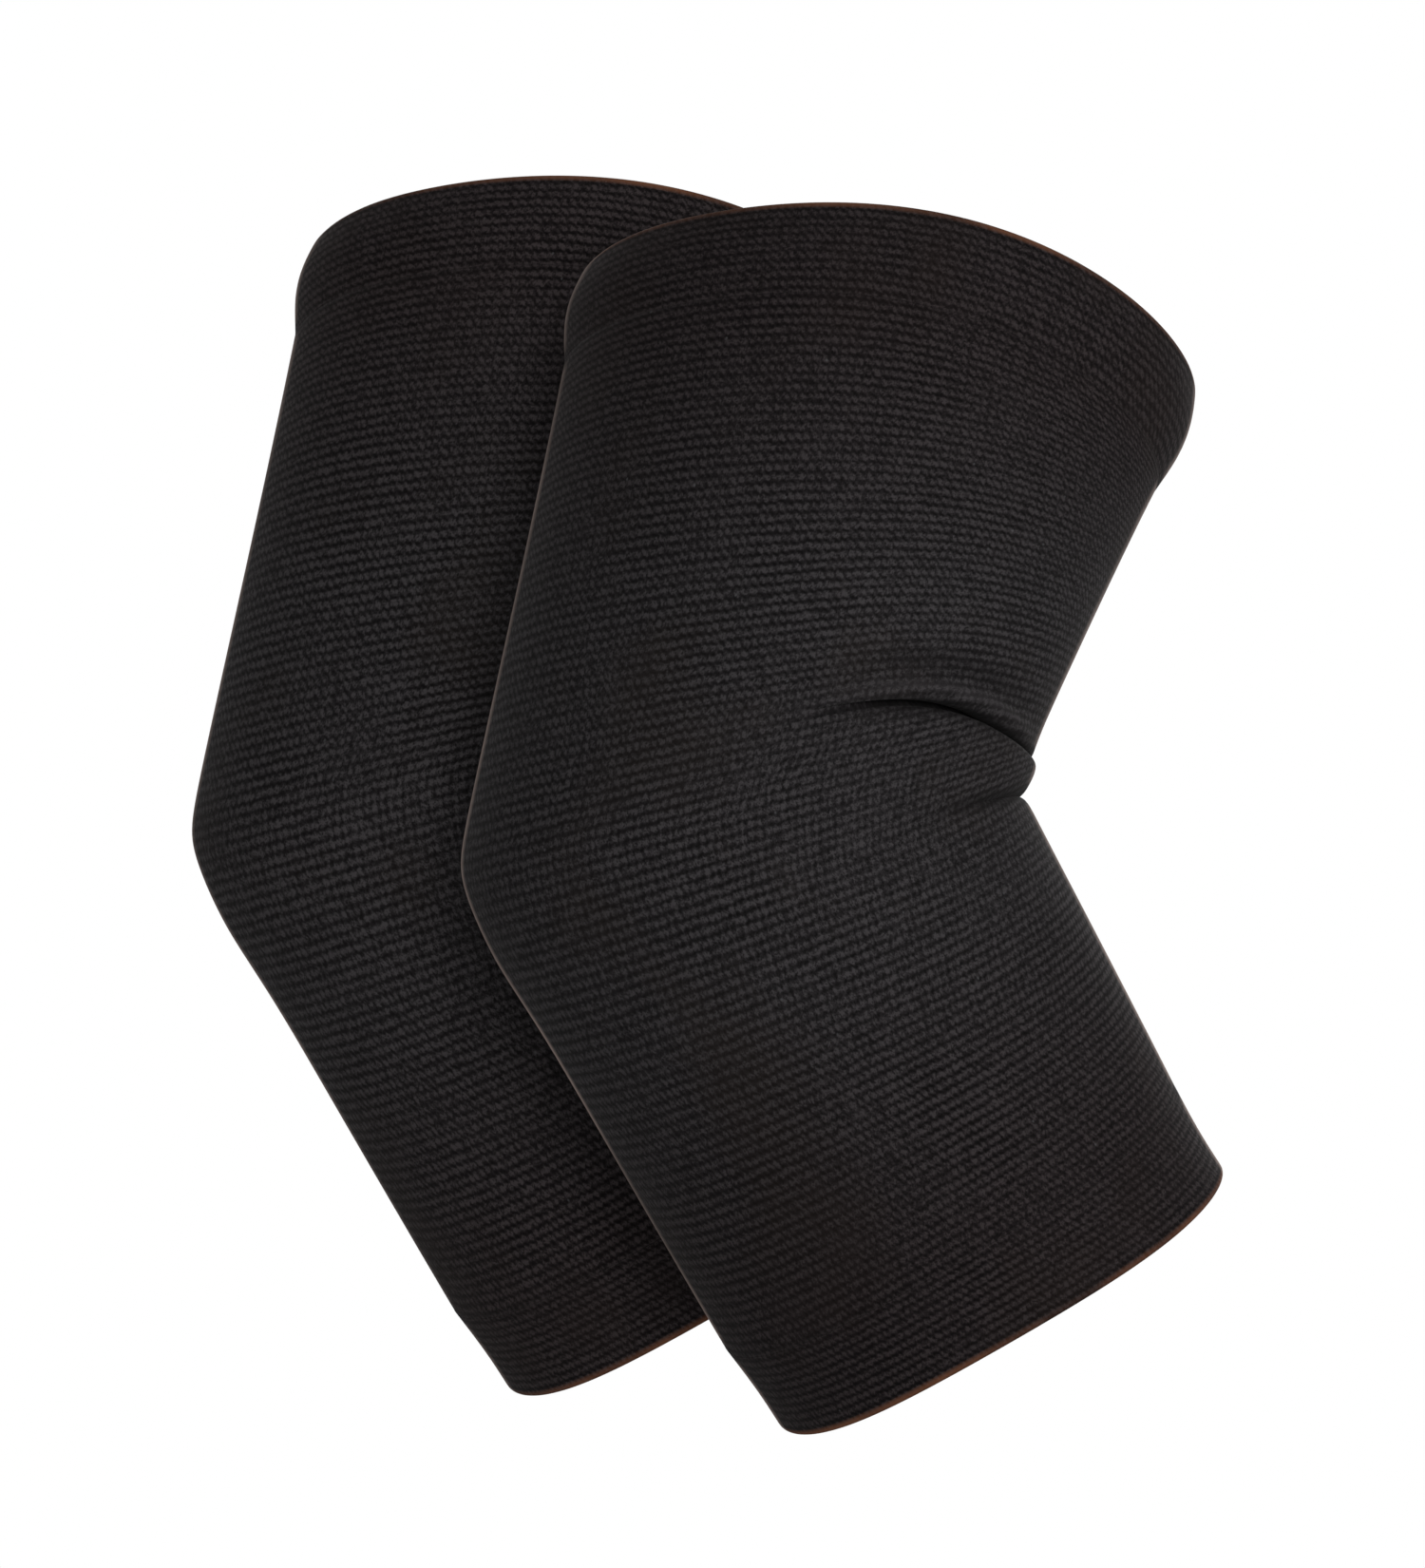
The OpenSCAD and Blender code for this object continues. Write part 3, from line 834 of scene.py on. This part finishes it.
def knitGroup():
    # light knobs and dark holes, where three waves meet: one for the courses and two that climb across
    # them. The wales slant as far as the elbow, and noises move stitches and courses a little
    pattern = knitPattern
    tree, given, result = newGroup(
        "knit stitches",
        [("Stitch", "NodeSocketVector", None), ("Wales", "NodeSocketFloat", float(sleeve["wales"])),
         ("Seed", "NodeSocketFloat", 0.0)],
        [(label, "NodeSocketFloat") for label in ("Height", "Yarn", "Patch", "Lint", "Course")],
    )
    u, v = apart(tree, given["Stitch"])
    around = product(tree, calc(tree, "DIVIDE", u, given["Wales"]), wholeTurn)
    radius = product(tree, given["Wales"], pattern["tubeRadius"])
    straight = tree.nodes.new("ShaderNodeCombineXYZ")  # place on a straight tube, so that no seam shows
    tree.links.new(product(tree, calc(tree, "COSINE", around), radius), straight.inputs[0])
    tree.links.new(product(tree, calc(tree, "SINE", around), radius), straight.inputs[1])
    seedLift = product(tree, given["Seed"], pattern["seedStep"])
    tree.links.new(total(tree, product(tree, v, sleeve["coursePitch"]), seedLift), straight.inputs[2])
    place = straight.outputs[0]

    def wander(scale, size):  # either way by size at most
        return ramp(tree, noise(tree, place, scale, 1.0), -size, size)

    def patches(scale, low, high):
        return ramp(tree, noise(tree, place, scale), low, high, *noiseSpan)

    course = total(tree, v, wander(*pattern["waver"]))
    slant = product(tree, calc(tree, "MINIMUM", course, pattern["slantEnd"]), pattern["slant"])
    wale = total(tree, u, slant, wander(*pattern["drift"]), wander(*pattern["sway"]))
    climbing = [total(tree, wale, product(tree, course, climb)) for climb in pattern["climbs"]]
    fromElbow = calc(tree, "ABSOLUTE", calc(tree, "SUBTRACT", course, pattern["elbowCourse"]))
    wider = product(tree, total(tree, calc(tree, "COSINE", around), 1.0), pattern["elbowWider"])
    atElbow = ramp(tree, calc(tree, "SUBTRACT", fromElbow, wider), 1.0, 0.0, *pattern["elbowFade"])
    share = total(
        tree,
        product(tree, wave(tree, course), patches(*pattern["courseShare"])),
        product(tree, wave(tree, climbing[0]), ramp(tree, atElbow, *pattern["steepShare"])),
        product(tree, wave(tree, climbing[1]), ramp(tree, atElbow, *pattern["shallowShare"])),
    )
    share = ramp(tree, share, 0.0, 1.0, -pattern["depth"], pattern["depth"])
    fibreScale, fibreLow, fibreHigh = pattern["fibre"]
    fibre = noise(tree, place, fibreScale, 3.0)
    fibreShade = ramp(tree, fibre, fibreLow, fibreHigh, *noiseSpan)
    bright = product(tree, patches(*pattern["knob"]), patches(*pattern["mottle"]), fibreShade)
    yarn = product(tree, calc(tree, "POWER", share, pattern["yarnPower"]), bright)
    tree.links.new(total(tree, share, product(tree, fibre, pattern["fibreHeight"])), result["Height"])
    tree.links.new(yarn, result["Yarn"])
    broad = noise(tree, place, pattern["patchScale"], 3.0)
    tree.links.new(ramp(tree, broad, 0.0, 1.0, *noiseSpan), result["Patch"])
    specks = fromCell(tree, place, pattern["lintScale"])
    tree.links.new(ramp(tree, specks, 1.0, 0.0, *pattern["lintSize"]), result["Lint"])
    tree.links.new(v, result["Course"])
    return tree


knitLook = {  # rows are courses past the hem's seam, below 0 on the tube
    "gap": (0.003, 0.0027, 0.0028),
    # the rear sleeve's yarn is painted lighter than the front's: painted light that makes up for the shade
    # the front sleeve casts on it
    "yarn": {"front": (0.0355, 0.0326, 0.0341), "rear": (0.047, 0.043, 0.0449)},
    "warm": (0.016, 0.0125, 0.0105),
    "warmMost": 0.3,
    "warmBelow": 0.5,  # of the broad patches
    "hemTint": (0.76, 0.67, 0.66),  # darker and browner towards the free edges
    "hemTintRows": (-30.0, -2.0),
    "rimEdge": (0.15, 0.06, 0.03),  # thin brown line where the hem turns over
    "rimEdgeFrom": (9.7, 10.2),  # rows within which it begins, and ends
    "rimEdgeTo": (10.7, 11.5),
    "rimEdgeLeast": 0.1,
    "lint": (0.11, 0.11, 0.115),
    "lintMost": 0.35,
    # painted shade in the folds, mixed towards the gaps' colour, and a painted highlight on the lip, mixed
    # towards the yarn's
    "foldDark": 0.85,
    "lipPaintedHighlight": 0.5,
    "paintedSheen": (0.46, 0.36, 0.32),  # painted sheen: a paler colour where the knit is seen edge-on, as of loose fibres that stand off it
    "paintedSheenFacing": (0.85, 0.97),
    "paintedSheenLeast": 0.3,
    "paintedSheenFold": (0.02, 0.3),  # painted fold shade within which the painted sheen ends
    "paintedSheenSeam": (0.6, 2.0),  # rows from the hem's seam within which it begins again
    "roughness": (1.0, 0.85),  # of the gaps and of the yarn
    "specular": 0.06,
    "sheen": 0.02,
    "sheenRoughness": 0.45,
    "sheenTint": (0.5, 0.48, 0.47, 1),
    "bump": (0.3, 0.0002),  # strength, and depth in metres
}


def knitMaterial(side, group, seed):
    look = knitLook
    material, tree, shader = newMaterial(side + " black knit")
    knit = tree.nodes.new("ShaderNodeGroup")
    knit.node_tree = group
    knit.inputs["Wales"].default_value = sleeve["wales"]
    knit.inputs["Seed"].default_value = seed
    tree.links.new(stitchPlace(tree), knit.inputs["Stitch"])
    yarn, patch = knit.outputs["Yarn"], knit.outputs["Patch"]
    colour = blendColour(tree, yarn, look["gap"], look["yarn"][side])
    warmth = ramp(tree, patch, look["warmMost"], 0.0, 0.0, look["warmBelow"])
    colour = blendColour(tree, warmth, colour, look["warm"])

    # towards the hems and on their rims
    halfway = sleeve["courses"] / 2
    fromMiddle = calc(tree, "ABSOLUTE", calc(tree, "SUBTRACT", knit.outputs["Course"], halfway))
    pastSeam = calc(tree, "SUBTRACT", fromMiddle, halfway)
    nearHem = ramp(tree, pastSeam, 0.0, 1.0, *look["hemTintRows"])
    colour = blendColour(tree, nearHem, colour, look["hemTint"], "MULTIPLY")
    rimFrom = ramp(tree, pastSeam, 0.0, 1.0, *look["rimEdgeFrom"])
    rimTo = ramp(tree, pastSeam, 1.0, 0.0, *look["rimEdgeTo"])
    rimEdge = product(tree, rimFrom, rimTo, ramp(tree, patch, look["rimEdgeLeast"], 1.0))
    colour = blendColour(tree, rimEdge, colour, look["rimEdge"])

    # lint, painted shade in the folds with a painted highlight on the lip, and a painted sheen along the
    # outline
    lint = product(tree, knit.outputs["Lint"], look["lintMost"])
    colour = blendColour(tree, lint, colour, look["lint"])
    # painted shade from the mesh's attribute: darker in the crease, valley and notch, lighter on the lip as
    # a painted highlight
    foldNode = tree.nodes.new("ShaderNodeAttribute")
    foldNode.attribute_name = "fold"
    fold = foldNode.outputs["Fac"]
    colour = blendColour(tree, ramp(tree, fold, 0.0, look["foldDark"]), colour, look["gap"])
    lipHighlight = ramp(tree, fold, look["lipPaintedHighlight"], 0.0, -1.0, 0.0)
    colour = blendColour(tree, lipHighlight, colour, look["yarn"][side])
    # painted sheen: paler colour where the surface is seen edge-on
    facing = tree.nodes.new("ShaderNodeLayerWeight").outputs["Facing"]
    paintedSheen = product(
        tree,
        ramp(tree, facing, 0.0, 1.0, *look["paintedSheenFacing"]),
        ramp(tree, patch, look["paintedSheenLeast"], 1.0),
        ramp(tree, fold, 1.0, 0.0, *look["paintedSheenFold"]),
        ramp(tree, calc(tree, "ABSOLUTE", pastSeam), 0.0, 1.0, *look["paintedSheenSeam"]),
    )
    colour = blendColour(tree, paintedSheen, colour, look["paintedSheen"])

    tree.links.new(colour, shader.inputs["Base Color"])
    tree.links.new(ramp(tree, yarn, *look["roughness"]), shader.inputs["Roughness"])
    shader.inputs["Specular IOR Level"].default_value = look["specular"]
    shader.inputs["Sheen Weight"].default_value = look["sheen"]
    shader.inputs["Sheen Roughness"].default_value = look["sheenRoughness"]
    shader.inputs["Sheen Tint"].default_value = look["sheenTint"]
    bump(tree, shader, knit.outputs["Height"], *look["bump"])
    return material


# elastic, thread, foam and floor

bandLook = {
    "dark": (0.012, 0.012, 0.012),
    "light": (0.04, 0.04, 0.04),
    "roughness": 0.8,
    "weft": 1.4,  # threads for each wale round the band
    "bump": (0.6, 0.0002),
}
threadLook = {
    "dark": (0.008, 0.008, 0.008),
    "light": (0.035, 0.034, 0.034),
    "roughness": 0.7,
    "plies": 2.0,
    "twist": 1.6,  # plies passed for each mm along the thread
    "bump": (0.7, 0.0001),
}
foamLook = {
    "dark": (0.02, 0.02, 0.021),
    "light": (0.07, 0.07, 0.073),
    "roughness": 0.88,
    "poreScale": 1800,
    "poreSpan": 0.8,
    "poreShade": (1.0, 0.4),
    "cloudScale": 60,
    "cloudShade": (0.6, 1.2),
    "bump": (0.5, 0.0003),
}
floorLook = {
    "dark": (0.78, 0.78, 0.78),
    "light": (0.84, 0.84, 0.84),
    "roughness": 0.9,
    "cloudScale": 3.0,
}


def colourFrom(tree, shader, share, look):  # the look's dark and light, and its roughness
    colour = blendColour(tree, share, look["dark"], look["light"])
    tree.links.new(colour, shader.inputs["Base Color"])
    shader.inputs["Roughness"].default_value = look["roughness"]


def bandMaterial():
    material, tree, shader = newMaterial("woven elastic")
    around = apart(tree, stitchPlace(tree))[0]
    weft = wave(tree, product(tree, around, bandLook["weft"]), "SINE")
    share = ramp(tree, weft, 0.0, 1.0, -1.0, 1.0)
    colourFrom(tree, shader, share, bandLook)
    bump(tree, shader, share, *bandLook["bump"])
    return material


def threadMaterial():
    material, tree, shader = newMaterial("sewing thread")
    around, along = apart(tree, stitchPlace(tree))
    plies = product(tree, around, threadLook["plies"])
    twist = total(tree, plies, product(tree, along, threadLook["twist"]))
    ply = ramp(tree, wave(tree, twist, "SINE"), 0.0, 1.0, -1.0, 1.0)
    colourFrom(tree, shader, ply, threadLook)
    bump(tree, shader, ply, *threadLook["bump"])
    return material


def foamMaterial():
    material, tree, shader = newMaterial("pad foam")
    place = objectPlace(tree)
    pores = fromCell(tree, place, foamLook["poreScale"])
    poreShade = ramp(tree, pores, *foamLook["poreShade"], 0.0, foamLook["poreSpan"])
    cloud = noise(tree, place, foamLook["cloudScale"], 3.0)
    share = product(tree, poreShade, ramp(tree, cloud, *foamLook["cloudShade"]))
    colourFrom(tree, shader, share, foamLook)
    bump(tree, shader, pores, *foamLook["bump"])
    return material


def floorMaterial():
    material, tree, shader = newMaterial("pale floor")
    cloud = noise(tree, objectPlace(tree), floorLook["cloudScale"])
    colourFrom(tree, shader, cloud, floorLook)
    return material


# making

knitNodes = knitGroup()
band, thread, foam = bandMaterial(), threadMaterial(), foamMaterial()
for seed, side in enumerate(sleeves):
    knit = knitMaterial(side, knitNodes, float(seed))
    knitTube(side, knit)
    for end in hems:
        hemCuff(side, end, knit)
        hemBand(side, end, band)
        hemStitch(side, end, thread)
    elbowPad(side, foam)
    padPocket(side, knit)
    padStitch(side, thread)
    print(side, "sleeve made")


# stage: floor, light and camera

view = {
    "yaw": 34.0,  # degrees that the camera looks round from +Y towards +X
    "roll": 15.86,  # degrees anticlockwise
    "distance": 10.0,
    "frameHeight": 0.2709,  # metres seen at the bend axis
    "aimRight": -0.00572,
    "aimUp": 0.00992,
    "sensor": 36.0,
}

yaw, roll = math.radians(view["yaw"]), math.radians(view["roll"])
lookAlong = Vector((math.sin(yaw), math.cos(yaw), 0))
levelRight = Vector((math.cos(yaw), -math.sin(yaw), 0))
levelUp = Vector((0, 0, 1))
pictureRight = levelRight * math.cos(roll) - levelUp * math.sin(roll)
pictureUp = levelRight * math.sin(roll) + levelUp * math.cos(roll)

cameraData = bpy.data.cameras.new("camera")
cameraData.sensor_width = view["sensor"]
cameraData.lens = view["sensor"] * view["distance"] / view["frameHeight"]
camera = bpy.data.objects.new("camera", cameraData)
bpy.context.scene.collection.objects.link(camera)
aim = pictureRight * view["aimRight"] + pictureUp * view["aimUp"]
turned = Matrix((pictureRight, pictureUp, -lookAlong)).transposed().to_4x4()
camera.matrix_world = Matrix.Translation(aim - lookAlong * view["distance"]) @ turned
bpy.context.scene.camera = camera

floorHeight, floorHalf = -0.3, 3.0
floorSigns = ((-1, -1), (1, -1), (1, 1), (-1, 1))
floorCorners = [(x * floorHalf, y * floorHalf, floorHeight) for x, y in floorSigns]
floorMesh = bpy.data.meshes.new("floor")
floorMesh.from_pydata(floorCorners, [], [(0, 1, 2, 3)])
floorMesh.materials.append(floorMaterial())
floor = bpy.data.objects.new("floor", floorMesh)
bpy.context.scene.collection.objects.link(floor)

lamps = {  # right, up and towards the camera from the object, in metres; size and watts
    "key": (0.1, 0.14, 1.4, 0.3, 10.0),
    "side": (1.2, 0.1, 0.5, 0.6, 6.0),
    "fill": (-0.4, 0.0, 1.4, 1.0, 2.2),
    "top": (0.2, 1.2, -0.5, 0.8, 2.0),
    "back": (0.7, 0.4, -1.3, 1.0, 8.0),
}
for name, (right, up, near, size, watts) in lamps.items():
    lampData = bpy.data.lights.new(name, "AREA")
    lampData.size = size
    lampData.energy = watts
    lamp = bpy.data.objects.new(name, lampData)
    lamp.location = levelRight * right + levelUp * up - lookAlong * near
    lamp.rotation_euler = lamp.location.to_track_quat("Z", "Y").to_euler()
    bpy.context.scene.collection.objects.link(lamp)

worldStrengths = {"light": 0.16, "backdrop": 1.0}  # what lights the object, and what the camera sees

world = bpy.data.worlds.new("studio")
bpy.context.scene.world = world
world.use_nodes = True
worldTree = world.node_tree
worldTree.nodes.clear()
rays = worldTree.nodes.new("ShaderNodeLightPath").outputs
seen = calc(worldTree, "MAXIMUM", rays["Is Camera Ray"], rays["Is Glossy Ray"])
seen = calc(worldTree, "MAXIMUM", seen, rays["Is Transmission Ray"])
either = worldTree.nodes.new("ShaderNodeMixShader")
worldTree.links.new(seen, either.inputs[0])
for socket, strength in zip(either.inputs[1:], worldStrengths.values()):
    white = worldTree.nodes.new("ShaderNodeBackground")
    white.inputs["Color"].default_value = (1, 1, 1, 1)
    white.inputs["Strength"].default_value = strength
    worldTree.links.new(white.outputs[0], socket)
worldOut = worldTree.nodes.new("ShaderNodeOutputWorld")
worldTree.links.new(either.outputs[0], worldOut.inputs[0])
bpy.context.scene.view_settings.view_transform = "Standard"
print("stage set")

bpy.context.view_layer.update()
